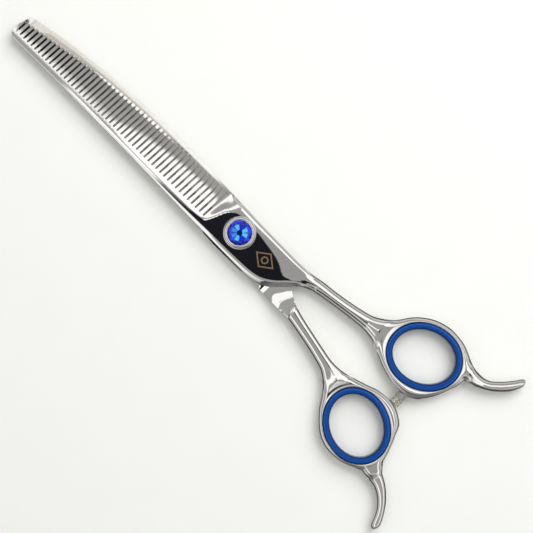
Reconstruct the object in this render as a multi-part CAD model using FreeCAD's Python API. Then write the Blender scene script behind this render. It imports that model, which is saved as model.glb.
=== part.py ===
import FreeCAD, Part
import math
import os

# Thinning shears, closed. Millimetres.
# The origin is on the pivot axis, in the plane the shears rest on.
# +Y runs to the blade tips, +X to the toothed side's finger ring, +Z up through the jewel.

os.makedirs("parts", exist_ok=True)
V = FreeCAD.Vector

# ---- driving dimensions ----------------------------------------------------
REST_Z = 0.0
BLADE_UNDER_Z = 0.4          # underside of the plain blade
PARTING_Z = 2.6              # plane in which the two blades slide
BLADE_GAP = 0.05             # clearance between the sliding faces
BLADE_TOP_Z = 4.8            # top of the toothed blade at the pivot
TIP_THIN = 0.8               # how much thinner each blade is at the tip
RING_T = 5.2                 # thickness of the finger rings

SLOTS = 50                   # slots ground between the teeth
SLOT_W = 0.75
SLOT_FIRST_Y = 12.75
SLOT_PITCH = 1.87
SLOT_PITCH_DROP = 0.0035     # the pitch closes up by this much per slot

SCREW_HEAD_R = 4.5
SCREW_HEAD_T = 1.2
SCREW_R = 2.25
SCREW_FLATS = 3.7            # width across the two flats of the keyed neck
SCREW_TOP_Z = 6.2
BUSH_R = 3.0
BUSH_CLEARANCE = 0.04
GLIDE_R = 5.2
GLIDE_T = 0.5
KNOB_R = 5.5
KNOB_Z = (4.95, 7.7)
CRYSTAL_R = 4.1
CRYSTAL_BACK_R = 1.15
CRYSTAL_TABLE_R = 2.75
CRYSTAL_Z = (6.45, 7.35, 7.5, 8.15)   # back, lower and upper rim, table

RING_TILT = 22.0             # lean of the rings' long axes away from Y
RIGHT_RING = V(15.3, -72.4, 0)
LEFT_RING = V(-16.0, -73.0, 0)
RING_METAL = (15.2, 12.75)   # semi-axes of the cast ring
RIGHT_HOLE = V(15.7, -72.4, 0)
LEFT_HOLE = V(-16.5, -73.3, 0)
RING_HOLE = (13.15, 11.2)    # semi-axes of the seat for the insert
INSERT_HOLE = (10.75, 8.75)  # semi-axes of the finger hole
INSERT_Z = (0.1, 5.1)
SNAP = 0.45                  # height of the bead that holds the insert
SNAP_Z = (1.8, 3.4)

BUMPER_Y = -76.6
BUMPER_Z = 2.6
STUD_R = 0.9
PAD_END_X = 1.95


# ---- helpers ---------------------------------------------------------------
def curve(points, z=0.0):
    """One smooth edge through the points."""
    spline = Part.BSplineCurve()
    spline.interpolate([V(x, y, z) for x, y in points])
    return spline.toShape()


def outline(runs, z=0.0):
    """Closed wire from runs of points; each run is one smooth or straight edge."""
    edges = []
    for number, run in enumerate(runs):
        nxt = runs[(number + 1) % len(runs)]
        pts = run + [nxt[0]]
        if len(pts) == 2:
            edges.append(Part.makeLine(V(pts[0][0], pts[0][1], z), V(pts[1][0], pts[1][1], z)))
        else:
            edges.append(curve(pts, z))
    return Part.Wire(edges)


def plate(runs, z0, z1):
    return Part.Face(outline(runs, z0)).extrude(V(0, 0, z1 - z0))


def disc(radius, z0, z1, at=V(0, 0, 0)):
    return Part.makeCylinder(radius, z1 - z0, V(at.x, at.y, z0))


def oval(centre, semi, tilt, z0, z1):
    """Elliptical disc; the long axis leans by tilt degrees from Y (foot towards +X)."""
    ellipse = Part.Ellipse(V(0, 0, 0), semi[0], semi[1])
    solid = Part.Face(Part.Wire(ellipse.toShape())).extrude(V(0, 0, z1 - z0))
    solid.rotate(V(0, 0, 0), V(0, 0, 1), 90 + tilt)
    solid.translate(V(centre.x, centre.y, z0))
    return solid


def section(x, y, heading, width, z0, z1, square=0.62):
    """Rounded closed section across a bar at (x, y); heading is in degrees from +X."""
    side = V(-math.sin(math.radians(heading)), math.cos(math.radians(heading)), 0)
    middle = V(x, y, 0.5 * (z0 + z1))
    points = []
    for step in range(16):
        angle = math.radians(22.5 * step)
        u = math.copysign(abs(math.cos(angle)) ** square, math.cos(angle)) * 0.5 * width
        w = math.copysign(abs(math.sin(angle)) ** square, math.sin(angle)) * 0.5 * (z1 - z0)
        points.append(middle + side * u + V(0, 0, w))
    spline = Part.BSplineCurve()
    spline.interpolate(Points=points, PeriodicFlag=True)
    return Part.Wire(spline.toShape())


def bar(stations):
    """Smooth bar through stations (x, y, heading, width, z0, z1)."""
    return Part.makeLoft([section(*station) for station in stations], True, False)


def rounded(solid, radius, z_values):
    """Round the closed edges that lie in the given horizontal planes."""
    edges = []
    for edge in solid.Edges:
        box = edge.BoundBox
        if box.ZLength < 1e-4 and any(abs(box.ZMin - z) < 1e-4 for z in z_values):
            edges.append(edge)
    return solid.makeFillet(radius, edges)


def save(name, shape):
    solids = shape.Solids
    assert len(solids) == 1, (name, len(solids))
    assert shape.isValid(), name
    solids[0].exportStep("parts/" + name + ".step")


# ---- toothed blade ---------------------------------------------------------
comb_runs = [
    # spine side, from the tip down past the pivot to the neck
    [(-9.15, 100.0), (-8.75, 82), (-8.45, 62), (-8.3, 40), (-8.35, 20), (-8.3, 8), (-8.3, 0),
     (-8.2, -8), (-7.9, -13), (-7.0, -17), (-5.2, -19.8), (-3.0, -22.0), (-1.0, -24.0),
     (0.6, -25.3), (2.0, -26.8), (3.2, -28.6)],
    # end of the neck
    [(4.2, -31.0)],
    # outer side of the neck and ricasso, up to the step at the first slot
    [(8.75, -31.0), (7.9, -27.0), (7.4, -22.0), (7.2, -14), (7.2, 0)],
    [(7.2, 11.0)],
    # tooth points
    [(6.85, 11.6), (6.6, 18), (6.3, 27), (5.97, 35), (5.5, 44.5), (4.7, 54), (3.6, 66),
     (2.65, 73), (1.5, 80), (0.25, 86.5), (-1.0, 93), (-2.25, 99.6)],
    # tip
    [(-2.8, 101.1)],
    [(-5.0, 101.6)],
    [(-7.8, 101.4)],
]
comb = plate(comb_runs, PARTING_Z + BLADE_GAP, BLADE_TOP_Z)

# long bevel down the spine side
bevel = Part.Face(Part.makePolygon([
    V(-12, -60, BLADE_TOP_Z + 0.6), V(-7.0, -60, BLADE_TOP_Z + 0.6), V(-9.9, -60, 3.1),
    V(-12, -60, 3.1), V(-12, -60, BLADE_TOP_Z + 0.6)])).extrude(V(0, 200, 0))
comb = comb.cut(bevel)

# top tapers towards the tip
taper = Part.Face(Part.makePolygon([
    V(-20, 12, BLADE_TOP_Z), V(-20, 102, BLADE_TOP_Z - TIP_THIN), V(-20, 102, 9),
    V(-20, 12, 9), V(-20, 12, BLADE_TOP_Z)])).extrude(V(40, 0, 0))
comb = comb.cut(taper)


# hollow grind over the teeth: a flat scoop that runs out near the pivot
def scoop_section(y, depth):
    ridge = -6.3 - 0.035 * (y - 12)
    fall = 1.45 * depth
    top = BLADE_TOP_Z - TIP_THIN * max(0.0, (y - 12) / 90.0)
    return Part.makePolygon([
        V(ridge, y, top + 2), V(ridge, y, top), V(ridge + 3.0, y, top - 0.55 * fall),
        V(7.5, y, top - fall), V(12, y, top - fall), V(12, y, top + 2), V(ridge, y, top + 2)])


scoop = Part.makeLoft([scoop_section(11.0, 0.02), scoop_section(13.0, 1.0),
                       scoop_section(103.0, 1.0)], True, True)
comb = comb.cut(scoop)

# slots between the teeth
slot_root = [(12.7, -4.8), (26, -5.2), (40, -5.6), (55, -5.95), (66, -6.3), (80, -6.7), (101, -7.1)]


def root_x(y):
    for (ya, xa), (yb, xb) in zip(slot_root, slot_root[1:]):
        if y <= yb:
            return xa + (xb - xa) * (y - ya) / (yb - ya)
    return slot_root[-1][1]


slots = []
slot_y = SLOT_FIRST_Y
for number in range(SLOTS):
    left = root_x(slot_y) + 0.5 * SLOT_W
    cutter = Part.makeBox(18, SLOT_W, 4, V(left, slot_y - 0.5 * SLOT_W, 2.0))
    cutter = cutter.fuse(Part.makeCylinder(0.5 * SLOT_W, 4, V(left, slot_y, 2.0)))
    cutter.rotate(V(left, slot_y, 0), V(0, 0, 1), -1.2)
    slots.append(cutter)
    slot_y += SLOT_PITCH - SLOT_PITCH_DROP * number
comb = comb.cut(Part.makeCompound(slots))

# bore for the bush, recess for the glide washer
comb = comb.cut(disc(BUSH_R, 2.0, 5.5))
comb = comb.cut(disc(GLIDE_R, 2.0, PARTING_Z + GLIDE_T))

# neck: fills out to the handle's section
comb_joint = (6.45, -31.0, -74, 4.4, 0.9, 4.75)
neck = bar([(5.3, -27.2, -70, 3.6, 2.7, 4.7), (5.9, -29.2, -72, 4.1, 1.7, 4.75), comb_joint])
comb = comb.fuse(neck).removeSplitter()
save("comb_blade", comb)


# ---- plain blade -----------------------------------------------------------
plain_runs = [
    # spine, from the tip to the ricasso
    [(0.1, 100.0), (1.3, 94), (2.9, 86), (4.5, 74), (5.9, 61), (6.8, 49), (7.3, 37), (7.5, 24),
     (7.35, 10), (7.2, -2), (6.9, -9), (6.0, -15), (4.2, -19), (1.8, -22.4), (-0.6, -25.6),
     (-2.2, -28.3)],
    # end of the heel
    [(-3.6, -31.3)],
    [(-8.1, -31.3), (-8.3, -27.0), (-8.3, -20), (-8.6, -8), (-8.9, 0), (-8.8, 7)],
    # upper corner of the ricasso, then the cutting edge
    [(-8.3, 9.6)],
    [(-0.9, 11.2)],
    [(-0.9, 12.5), (-1.3, 25), (-2.2, 45), (-3.4, 65), (-5.0, 85), (-6.4, 99)],
    [(-5.8, 100.9)],
    [(-2.2, 101.0)],
]
plain = plate(plain_runs, BLADE_UNDER_Z, PARTING_Z)

# underside tapers towards the tip
plain = plain.cut(Part.Face(Part.makePolygon([
    V(-20, 12, BLADE_UNDER_Z), V(-20, 103, BLADE_UNDER_Z + TIP_THIN), V(-20, 103, -3),
    V(-20, 12, -3), V(-20, 12, BLADE_UNDER_Z)])).extrude(V(40, 0, 0)))


# bevel under the cutting edge, following its curve
def edge_section(x, y):
    return Part.makePolygon([V(x + 0.02, y, PARTING_Z - 0.12), V(x + 2.6, y, -0.6),
                             V(x - 3, y, -0.6), V(x - 3, y, PARTING_Z - 0.12),
                             V(x + 0.02, y, PARTING_Z - 0.12)])


plain = plain.cut(Part.makeLoft([edge_section(-0.9, 11.2), edge_section(-1.3, 25),
                                 edge_section(-2.2, 45), edge_section(-3.4, 65),
                                 edge_section(-5.0, 85), edge_section(-6.7, 103)], True, False))

# heel block: steps up through the parting plane behind the toothed blade
heel_runs = [
    [(-8.15, -24.0), (-6.4, -22.9), (-4.2, -23.7)],
    [(-1.3, -25.5), (-2.2, -28.3)],
    [(-3.6, -31.3)],
    [(-8.1, -31.3), (-8.3, -27.0)],
]
plain = plain.fuse(plate(heel_runs, PARTING_Z - 0.5, 4.3)).removeSplitter()

# seat for the screw head and the keyed hole through the blade
plain = plain.cut(disc(SCREW_HEAD_R, -1.0, SCREW_HEAD_T))
neck_hole = disc(SCREW_R, -1.0, 5.0).common(
    Part.makeBox(10, SCREW_FLATS, 8, V(-5, -0.5 * SCREW_FLATS, -2)))
plain = plain.cut(neck_hole)
save("plain_blade", plain)

# ---- pivot hardware --------------------------------------------------------
stem = disc(SCREW_R, PARTING_Z, SCREW_TOP_Z)
screw = disc(SCREW_HEAD_R, REST_Z, SCREW_HEAD_T)
screw = rounded(screw, 0.25, [REST_Z])
key = disc(SCREW_R, SCREW_HEAD_T, PARTING_Z).common(
    Part.makeBox(10, SCREW_FLATS, 8, V(-5, -0.5 * SCREW_FLATS, -2)))
screw = screw.fuse(key).fuse(stem)
save("pivot_screw", screw.removeSplitter())

bush = disc(BUSH_R, PARTING_Z + GLIDE_T, BLADE_TOP_Z)
bush = bush.cut(disc(SCREW_R + BUSH_CLEARANCE, 2, 6))
save("screw_bush", bush)

glide = disc(GLIDE_R, PARTING_Z + 0.02, PARTING_Z + GLIDE_T)
glide = glide.cut(disc(SCREW_R + BUSH_CLEARANCE, 2, 6))
save("glide_washer", glide)

flat = disc(4.1, BLADE_TOP_Z, BLADE_TOP_Z + 0.3).cut(disc(SCREW_R + 0.1, 4, 6))
save("flat_washer", flat)

# wave spring: a ring of strip with three waves
WAVE_Z = 5.42
wave_rings = []
for step in range(25):
    turn = math.radians(15.0 * step)
    lift = 0.13 * math.cos(3 * turn)
    out = V(math.cos(turn), math.sin(turn), 0)
    corners = []
    for radius, z in ((2.5, -0.1), (3.9, -0.1), (3.9, 0.1), (2.5, 0.1), (2.5, -0.1)):
        corners.append(out * radius + V(0, 0, WAVE_Z + lift + z))
    wave_rings.append(Part.makePolygon(corners))
halves = [Part.makeLoft(wave_rings[:13], True, False), Part.makeLoft(wave_rings[12:], True, False)]
save("wave_spring", halves[0].fuse(halves[1]))

knob = disc(KNOB_R, KNOB_Z[0], KNOB_Z[1])
knob = rounded(knob, 0.7, [KNOB_Z[1]])
knob = knob.cut(disc(4.2, 4.0, 5.66))                      # room for the washers
knob = knob.cut(disc(SCREW_R + 0.02, 4.0, SCREW_TOP_Z + 0.05))
# cup: a cone that the crystal's back sits on, then a straight wall round its rim
knob = knob.cut(Part.makeCone(CRYSTAL_BACK_R, CRYSTAL_R, CRYSTAL_Z[1] - CRYSTAL_Z[0],
                              V(0, 0, CRYSTAL_Z[0])))
knob = knob.cut(disc(CRYSTAL_R + 0.05, CRYSTAL_Z[1], 9.0))
save("tension_knob", knob)


def gem_ring(radius, z, sides, turn):
    points = []
    for corner in range(sides + 1):
        angle = math.radians(turn + 360.0 * corner / sides)
        points.append(V(radius * math.cos(angle), radius * math.sin(angle), z))
    return Part.makePolygon(points)


gem_rings = []
for radius, height in zip((CRYSTAL_BACK_R, CRYSTAL_R, CRYSTAL_R, CRYSTAL_TABLE_R), CRYSTAL_Z):
    gem_rings.append(gem_ring(radius, height, 16, 0))
save("crystal", Part.makeLoft(gem_rings, True, True))


# ---- handles ---------------------------------------------------------------
def ring_body(centre):
    ring = oval(centre, RING_METAL, RING_TILT * (1 if centre.x > 0 else -1), 0, RING_T)
    return rounded(ring, 1.9, [0, RING_T])


def ring_seat(centre):
    """Seat for the insert, less the bead left standing inside it."""
    tilt = RING_TILT * (1 if centre.x > 0 else -1)
    inner = (RING_HOLE[0] - SNAP, RING_HOLE[1] - SNAP)
    seat = oval(centre, RING_HOLE, tilt, -1, SNAP_Z[0])
    seat = seat.fuse(oval(centre, RING_HOLE, tilt, SNAP_Z[1], RING_T + 1))
    return seat.fuse(oval(centre, inner, tilt, -1, RING_T + 1))


comb_shank = bar([
    comb_joint,
    (7.5, -37.0, -80, 4.2, 0.5, 4.7),
    (8.5, -43.0, -80, 4.1, 0.4, 4.7),
    (9.7, -49.0, -76, 4.6, 0.4, 4.7),
    (11.2, -54.0, -70, 6.4, 0.4, 4.8),
    (12.4, -59.0, -66, 8.2, 0.6, 4.6),
])
comb_tang = bar([
    (19.5, -82.5, -80, 9.0, 1.0, 4.2),
    (21.6, -87.0, -80, 4.8, 0.6, 4.6),
    (23.2, -91.0, -62, 3.2, 0.7, 4.5),
    (26.1, -95.3, -48, 2.8, 0.8, 4.4),
    (30.2, -98.9, -36, 2.5, 1.0, 4.2),
    (33.6, -101.1, -28, 1.8, 1.5, 3.7),
    (34.5, -101.5, -25, 0.7, 2.1, 3.1),
])
comb_handle = ring_body(RIGHT_RING).fuse(comb_shank).fuse(comb_tang)
comb_handle = comb_handle.cut(ring_seat(RIGHT_HOLE))
save("comb_handle", comb_handle)

plain_joint = (-5.9, -31.3, -90, 4.3, 0.5, 4.4)
plain_shank = bar([
    plain_joint,
    (-7.1, -38.0, -99, 4.0, 0.4, 4.6),
    (-8.2, -44.0, -100, 3.9, 0.4, 4.7),
    (-9.4, -49.5, -104, 4.4, 0.4, 4.7),
    (-11.0, -54.5, -110, 6.2, 0.4, 4.8),
    (-12.6, -59.5, -114, 8.2, 0.6, 4.6),
])
plain_tang = bar([
    (-19.5, -83.0, -100, 9.0, 1.0, 4.2),
    (-21.9, -87.3, -100, 4.8, 0.6, 4.6),
    (-23.6, -91.3, -118, 3.2, 0.7, 4.5),
    (-26.5, -95.6, -132, 2.8, 0.8, 4.4),
    (-31.0, -99.4, -144, 2.5, 1.0, 4.2),
    (-35.0, -101.7, -152, 1.8, 1.5, 3.7),
    (-36.0, -102.2, -155, 0.7, 2.1, 3.1),
])
boss = oval(V(-6.0, -76.5, 0), (6.2, 3.3), -6, 0.5, 4.7)
boss = rounded(boss, 1.2, [0.5, 4.7])
plain_handle = ring_body(LEFT_RING).fuse(plain_shank).fuse(plain_tang).fuse(boss)
plain_handle = plain_handle.cut(ring_seat(LEFT_HOLE))
stud_hole = Part.makeCylinder(STUD_R, 1.7, V(-4.2, BUMPER_Y, BUMPER_Z), V(1, 0, 0))
plain_handle = plain_handle.cut(stud_hole)
save("plain_handle", plain_handle)


# ---- finger-ring inserts ---------------------------------------------------
def insert(centre):
    tilt = RING_TILT * (1 if centre.x > 0 else -1)
    body = oval(centre, RING_HOLE, tilt, INSERT_Z[0], INSERT_Z[1])
    body = body.cut(oval(centre, INSERT_HOLE, tilt, -1, RING_T + 1))
    body = rounded(body, 0.85, INSERT_Z)
    groove = oval(centre, (20, 18), tilt, SNAP_Z[0], SNAP_Z[1])
    groove = groove.cut(oval(centre, (RING_HOLE[0] - SNAP, RING_HOLE[1] - SNAP), tilt, 0, 6))
    return body.cut(groove)


save("comb_ring_insert", insert(RIGHT_HOLE))
save("plain_ring_insert", insert(LEFT_HOLE))

# ---- bumper ----------------------------------------------------------------
along = V(1, 0, 0)
bumper = Part.makeCylinder(STUD_R, 4.7, V(-4.2, BUMPER_Y, BUMPER_Z), along)
for bead in range(2):
    collar = Part.makeCylinder(2.05, 1.0, V(-2.3 + 1.15 * bead, BUMPER_Y, BUMPER_Z), along)
    bumper = bumper.fuse(collar)
bumper = bumper.fuse(Part.makeCylinder(1.6, 2.2, V(-2.5, BUMPER_Y, BUMPER_Z), along))
save("bumper_screw", bumper.removeSplitter())

pad = Part.makeCylinder(1.75, PAD_END_X + 0.15, V(-0.15, BUMPER_Y, BUMPER_Z), along)
pad = pad.cut(Part.makeCylinder(STUD_R, 0.65, V(-0.15, BUMPER_Y, BUMPER_Z), along))
save("bumper_pad", pad)
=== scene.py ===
import math
from functools import partial

import bmesh
import bpy
from bpy.props import FloatProperty, FloatVectorProperty, IntProperty, PointerProperty
from mathutils import Matrix, Vector
from mathutils.kdtree import KDTree


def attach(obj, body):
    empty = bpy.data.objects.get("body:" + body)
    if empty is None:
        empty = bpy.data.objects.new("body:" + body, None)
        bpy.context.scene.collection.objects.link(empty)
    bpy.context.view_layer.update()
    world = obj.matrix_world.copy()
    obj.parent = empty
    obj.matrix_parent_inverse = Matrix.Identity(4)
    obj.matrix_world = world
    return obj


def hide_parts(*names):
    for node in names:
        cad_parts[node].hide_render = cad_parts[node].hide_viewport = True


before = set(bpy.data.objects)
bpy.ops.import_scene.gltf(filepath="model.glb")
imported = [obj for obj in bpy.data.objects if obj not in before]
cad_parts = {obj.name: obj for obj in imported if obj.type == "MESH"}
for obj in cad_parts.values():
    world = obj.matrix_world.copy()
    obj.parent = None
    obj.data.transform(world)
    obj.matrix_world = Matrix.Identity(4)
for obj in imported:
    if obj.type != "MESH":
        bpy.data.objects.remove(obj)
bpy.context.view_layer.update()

bl_info = {
    "name": "Thinning shears",
    "version": (1, 0, 0),
    "blender": (4, 5, 0),
    "location": "3D View > Sidebar > Shears",
    "description": "Builds a pair of jewelled thinning shears piece by piece",
    "category": "Object",
}

MM = 0.001

# ---- places shared with the solid model, in millimetres ----
UNDER_Z = 0.4          # underside of the plain blade
PARTING_Z = 2.6        # where the blades slide
TOP_Z = 4.8            # flat of the toothed blade
TIP_Y = 101.6
BLADE_LENGTH = 90.0    # from the first tooth to the tip
TIP_THIN = 0.8         # thickness each blade loses over that length
MIDDLE_Z = 2.6         # mid plane of the handles and inserts
COMB_CREST_Z = 4.72    # crest of the toothed side's shank
PLAIN_CREST_Z = 4.68   # crest of the plain side's shank
RING_CREST_Z = 5.12    # crest of the finger rings
RING_LIFT = 0.65       # how far the shanks climb to reach the rings
SEAT_Z = 4.76          # rim of the ring bores
HANDLE_TOP = 5.75      # highest point of the handles
INNER_HOLLOW = 0.8     # hollow grind of the plain blade's inner face
SLOT_FIRST_Y = 12.75
TOOTH_LEAN = 0.021     # the slots lean back towards the pivot by this slope
FACET_SLOPE = 0.068    # of the facet beside the emblem flat
RING_TILT = 22.0
RIGHT_HOLE, LEFT_HOLE = (15.7, -72.4), (-16.5, -73.3)
BUMPER = Vector((0.0, -76.6, 2.6))


# ---- small tools ----
def track(*points):
    """Smooth value through (place, value) points; flat beyond both ends."""
    places = [p for p, _ in points]
    values = [v for _, v in points]
    rises = [(values[i + 1] - values[i]) / (places[i + 1] - places[i])
             for i in range(len(points) - 1)]
    slopes = [rises[0]] + [0.5 * (a + b) if a * b > 0 else 0.0 for a, b in zip(rises, rises[1:])]
    slopes.append(rises[-1])

    def value(place):
        if place <= places[0]:
            return values[0]
        if place >= places[-1]:
            return values[-1]
        i = max(k for k in range(len(places)) if places[k] <= place)
        i = min(i, len(rises) - 1)
        gap = places[i + 1] - places[i]
        t = (place - places[i]) / gap
        return ((1 + 2 * t) * (1 - t) ** 2 * values[i] + t * (1 - t) ** 2 * gap * slopes[i]
                + t * t * (3 - 2 * t) * values[i + 1] + t * t * (t - 1) * gap * slopes[i + 1])

    return value


def ramp(value, start, end):
    """0 before start, 1 after end, eased between."""
    t = min(1.0, max(0.0, (value - start) / (end - start)))
    return t * t * (3 - 2 * t)


def mix(a, b, t):
    """Value a share t of the way from a to b."""
    return a + (b - a) * t


def rise(*points):
    """Height gained with distance from an edge; points give (distance, slope in degrees)."""
    slopes = [(place, math.tan(math.radians(slope))) for place, slope in points]
    heights = [0.0]
    for (a, start), (b, end) in zip(slopes, slopes[1:]):
        heights.append(heights[-1] + 0.5 * (b - a) * (start + end))

    def height(distance):
        distance = min(max(distance, 0.0), slopes[-1][0])
        k = max(i for i in range(len(slopes) - 1) if slopes[i][0] <= distance)
        (a, start), (b, end) = slopes[k], slopes[k + 1]
        along = distance - a
        return heights[k] + along * (start + 0.5 * along * (end - start) / (b - a))

    return height


def lower(a, b, rounding=0.05):
    """The lower of two heights, rounded where they cross."""
    return 0.5 * (a + b - math.hypot(a - b, rounding))


def make_piece(bm, name, body, nodes, materials, sharp=None):
    """Turns a bmesh drawn in millimetres into a finished piece in metres."""
    bmesh.ops.scale(bm, vec=(MM, MM, MM), verts=bm.verts)
    bmesh.ops.recalc_face_normals(bm, faces=bm.faces)
    mesh = bpy.data.meshes.new(name)
    bm.to_mesh(mesh)
    bm.free()
    mesh.polygons.foreach_set("use_smooth", [True] * len(mesh.polygons))
    if sharp is not None:
        mesh.set_sharp_from_angle(angle=math.radians(sharp))
    for material in materials:
        mesh.materials.append(material)
    piece = bpy.data.objects.new(name, mesh)
    bpy.context.scene.collection.objects.link(piece)
    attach(piece, body)
    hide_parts(*nodes)
    return piece


def soften_edges(piece, width, angle):
    """Rounds every edge sharper than angle by width millimetres."""
    bevel = piece.modifiers.new("Soft edges", "BEVEL")
    bevel.width = width * MM
    bevel.segments = 2
    bevel.limit_method = "ANGLE"
    bevel.angle_limit = math.radians(angle)
    bevel.harden_normals = True
    bevel.use_clamp_overlap = True


def subdivide(piece):
    """Smooths a piece by one level of subdivision."""
    smooth = piece.modifiers.new("Smooth", "SUBSURF")
    smooth.levels = 1
    smooth.render_levels = 1


def extruded(bm):
    """Thickens a sheet into a block and returns the corners of its new side."""
    made = bmesh.ops.extrude_face_region(bm, geom=bm.faces[:])["geom"]
    return [v for v in made if isinstance(v, bmesh.types.BMVert)]


def check_closed(bm, what):
    """Stops the build when an edge doesn't join exactly two faces."""
    if any(len(edge.link_faces) != 2 for edge in bm.edges):
        raise RuntimeError(f"the {what} is not closed")


def grid_steps(v, columns, rows):
    """Column and row of a corner of a fresh two-unit grid."""
    return (round((v.co.x + 1) / 2 * (columns - 1)), round((v.co.y + 1) / 2 * (rows - 1)))


def grid_block(columns, rows, place, neck, gaps=None):
    """Closed block over a grid; place(i, j, top) gives each corner. gaps(i, j) leaves cells out.

    The first row is drawn in a little towards x = neck, so that it sits inside the handle.
    """
    bm = bmesh.new()
    column = bm.verts.layers.int.new("column")
    row = bm.verts.layers.int.new("row")
    bmesh.ops.create_grid(bm, x_segments=columns - 1, y_segments=rows - 1, size=1.0)
    for v in bm.verts:
        v[column], v[row] = grid_steps(v, columns, rows)
    if gaps:
        open_cells = [face for face in bm.faces if gaps(min(v[column] for v in face.verts),
                                                        min(v[row] for v in face.verts))]
        bmesh.ops.delete(bm, geom=open_cells, context="FACES")

    def move(v, top):
        v.co = place(v[column], v[row], top)
        if v[row] == 0:
            v.co = v.co.lerp(Vector((neck, v.co.y, MIDDLE_Z)), 0.04)

    for v in bm.verts:
        move(v, False)
    for v in extruded(bm):
        move(v, True)
    bmesh.ops.remove_doubles(bm, verts=bm.verts, dist=0.001)
    check_closed(bm, "block")
    return bm


def spin_line(bm, points, steps, closed=False):
    """Turns a line of (radius, height) points a full circle about Z."""
    verts = [bm.verts.new((radius, 0, height)) for radius, height in points]
    edges = [bm.edges.new(pair) for pair in zip(verts, verts[1:] + verts[:1 if closed else 0])]
    bmesh.ops.spin(bm, geom=verts + edges, cent=(0, 0, 0), axis=(0, 0, 1), angle=2 * math.pi,
                   steps=steps, use_merge=True)
    bmesh.ops.remove_doubles(bm, verts=bm.verts, dist=0.0005)


def turned(profile, steps, axis=(0, 0, 1), centre=(0, 0, 0)):
    """Solid of revolution: profile is (radius, height) pairs from axis to axis."""
    bm = bmesh.new()
    spin_line(bm, profile, steps)
    turn = Vector((0, 0, 1)).rotation_difference(Vector(axis)).to_matrix().to_4x4()
    bmesh.ops.transform(bm, matrix=Matrix.Translation(centre) @ turn, verts=bm.verts)
    return bm


# ---- materials ----
def rgba(colour, share=1.0):
    """Opaque colour, darkened to a share of its strength."""
    return (*(share * c for c in colour), 1)


def new_material(name, metallic=0.0):
    """Material with a Principled shader; returns it, its node tree and the shader."""
    material = bpy.data.materials.new(name)
    material.use_nodes = True
    tree = material.node_tree
    shader = tree.nodes["Principled BSDF"]
    shader.inputs["Metallic"].default_value = metallic
    return material, tree, shader


def wire(tree, value, socket):
    """Feeds a socket from another node's output or sets it to a value."""
    if isinstance(value, bpy.types.NodeSocket):
        tree.links.new(value, socket)
    else:
        socket.default_value = value


def node(tree, kind, output, **inputs):
    """Adds a node, feeds its inputs and returns the named output."""
    made = tree.nodes.new(kind)
    for key, value in inputs.items():
        wire(tree, value, made.inputs[key.replace("_", " ")])
    return made.outputs[output]


def math_node(tree, operation, *values):
    """Result of one sum or comparison."""
    made = tree.nodes.new("ShaderNodeMath")
    made.operation = operation
    for socket, value in zip(made.inputs, values):
        wire(tree, value, socket)
    return made.outputs["Value"]


def blend(tree, factor, a, b, kind="MIX"):
    """Colour a turned towards colour b by factor."""
    made = tree.nodes.new("ShaderNodeMix")
    made.data_type = "RGBA"
    made.blend_type = kind
    for name, value in (("Factor", factor), ("A", a), ("B", b)):
        wire(tree, value, made.inputs[name])
    return made.outputs["Result"]


def colour_ramp(tree, value, tones, interpolation="LINEAR"):
    """Colour looked up by value; tones are (place, colour) from left to right."""
    made = tree.nodes.new("ShaderNodeValToRGB")
    made.color_ramp.interpolation = interpolation
    stops = made.color_ramp.elements
    for number, (place, colour) in enumerate(tones):
        stop = stops[number] if number < 2 else stops.new(place)
        stop.position = place
        stop.color = colour
    tree.links.new(value, made.inputs["Fac"])
    return made.outputs["Color"]


def object_coords(tree, scale=(1, 1, 1), shift=(0, 0, 0)):
    """Object coordinates, scaled and then shifted."""
    coords = node(tree, "ShaderNodeTexCoord", "Object")
    return node(tree, "ShaderNodeMapping", "Vector", Vector=coords, Scale=scale, Location=shift)


def split(tree, vector):
    """The x, y and z of a vector."""
    made = tree.nodes.new("ShaderNodeSeparateXYZ")
    tree.links.new(vector, made.inputs["Vector"])
    return [made.outputs[axis] for axis in "XYZ"]


def noise(tree, vector, scale, detail=3.0):
    """Cloudy value between 0 and 1."""
    return node(tree, "ShaderNodeTexNoise", "Fac", Vector=vector, Scale=scale, Detail=detail)


def remap(tree, value, low, high, start=0.0, end=1.0):
    """Value moved from the range start to end into the range low to high."""
    return node(tree, "ShaderNodeMapRange", "Result", Value=value, From_Min=start, From_Max=end,
                To_Min=low, To_Max=high)


def radius_from(tree, x, y):
    """Distance from the Z axis."""
    calc = partial(math_node, tree)
    return calc("SQRT", calc("ADD", calc("MULTIPLY", x, x), calc("MULTIPLY", y, y)))


def finish(tree, shader, base, rough, height=None, strength=0.06, distance=0.00003):
    """Sets colour and roughness, and a fine relief where a height is given."""
    wire(tree, base, shader.inputs["Base Color"])
    wire(tree, rough, shader.inputs["Roughness"])
    if height is not None:
        relief = node(tree, "ShaderNodeBump", "Normal", Height=height, Strength=strength,
                      Distance=distance)
        wire(tree, relief, shader.inputs["Normal"])


def polished_steel(colour, name, emblem=False):
    """Mirror-polished stainless steel with a trace of polishing haze."""
    material, tree, shader = new_material(name, 1.0)
    haze = noise(tree, object_coords(tree), 260.0, 4.0)
    lines = noise(tree, object_coords(tree, (9.0, 0.35, 9.0)), 900.0, 2.0)
    rough = math_node(tree, "ADD", remap(tree, haze, 0.0, 0.025, 0.35, 0.75),
                      remap(tree, lines, 0.02, 0.045, 0.3, 0.7))
    base = blend(tree, haze, rgba(colour), rgba(colour, 0.93))
    if emblem:
        mask = emblem_mask(tree)
        base = blend(tree, mask, base, (0.30, 0.205, 0.105, 1))
        rough = math_node(tree, "MULTIPLY_ADD", mask, 0.42, rough)
    finish(tree, shader, base, rough, lines, 0.012, 0.00001)
    return material


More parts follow.
